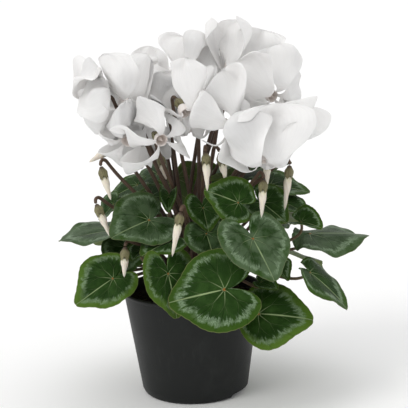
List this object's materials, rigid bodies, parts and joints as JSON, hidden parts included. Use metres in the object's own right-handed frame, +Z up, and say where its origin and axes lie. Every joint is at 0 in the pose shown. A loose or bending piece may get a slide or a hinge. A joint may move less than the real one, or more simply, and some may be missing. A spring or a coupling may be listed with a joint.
{
  "type": "potted cyclamen",
  "caption": "White-flowered florist's cyclamen with silver-marked heart-shaped leaves, hanging buds and dense blooms above a plain dark tapered nursery pot.",
  "frame": {"origin": "middle of the pot's foot, in the plane it stands on", "axes": "+Z up along the pot's axis, -Y towards the side with the fullest leaves and blooms, +X to the right seen from there"},
  "size_m": [0.2738, 0.2313, 0.3274],
  "materials": {
    "pot": "matt charcoal moulded plastic",
    "soil": "damp crumbly peat compost",
    "tuber": "corky brown skin",
    "stems": "smooth brown-red fleshy stalk",
    "leaves": "dark green with a silver-green band and pale veins",
    "petals": "soft warm white petal",
    "buds": "cream furled petal"
  },
  "bodies": {
    "root": {"pot": "pot", "soil": "soil", "tuber": "tuber", "stems": "stems", "leaf_01": "leaves", "leaf_02": "leaves", "leaf_03": "leaves", "leaf_04": "leaves", "leaf_05": "leaves", "leaf_06": "leaves", "leaf_07": "leaves", "leaf_08": "leaves", "leaf_09": "leaves", "leaf_10": "leaves", "leaf_11": "leaves", "leaf_12": "leaves", "leaf_13": "leaves", "leaf_14": "leaves", "leaf_15": "leaves", "leaf_16": "leaves", "leaf_17": "leaves", "leaf_18": "leaves", "leaf_19": "leaves", "leaf_20": "leaves", "leaf_21": "leaves", "leaf_22": "leaves", "leaf_23": "leaves", "leaf_24": "leaves", "leaf_25": "leaves", "leaf_26": "leaves", "leaf_27": "leaves", "leaf_28": "leaves", "leaf_29": "leaves", "leaf_30": "leaves", "bloom_01": "petals", "bloom_02": "petals", "bloom_03": "petals", "bloom_04": "petals", "bloom_05": "petals", "bloom_06": "petals", "bloom_07": "petals", "bloom_08": "petals", "bloom_09": "petals", "bloom_10": "petals", "bloom_11": "petals", "bloom_12": "petals", "bloom_13": "petals", "bloom_14": "petals", "bloom_15": "petals", "bud_01": "buds", "bud_02": "buds", "bud_03": "buds", "bud_04": "buds", "bud_05": "buds", "bud_06": "buds", "bud_07": "buds", "bud_08": "buds", "bud_09": "buds", "bud_10": "buds", "bud_11": "buds"}
  },
  "joints": []
}
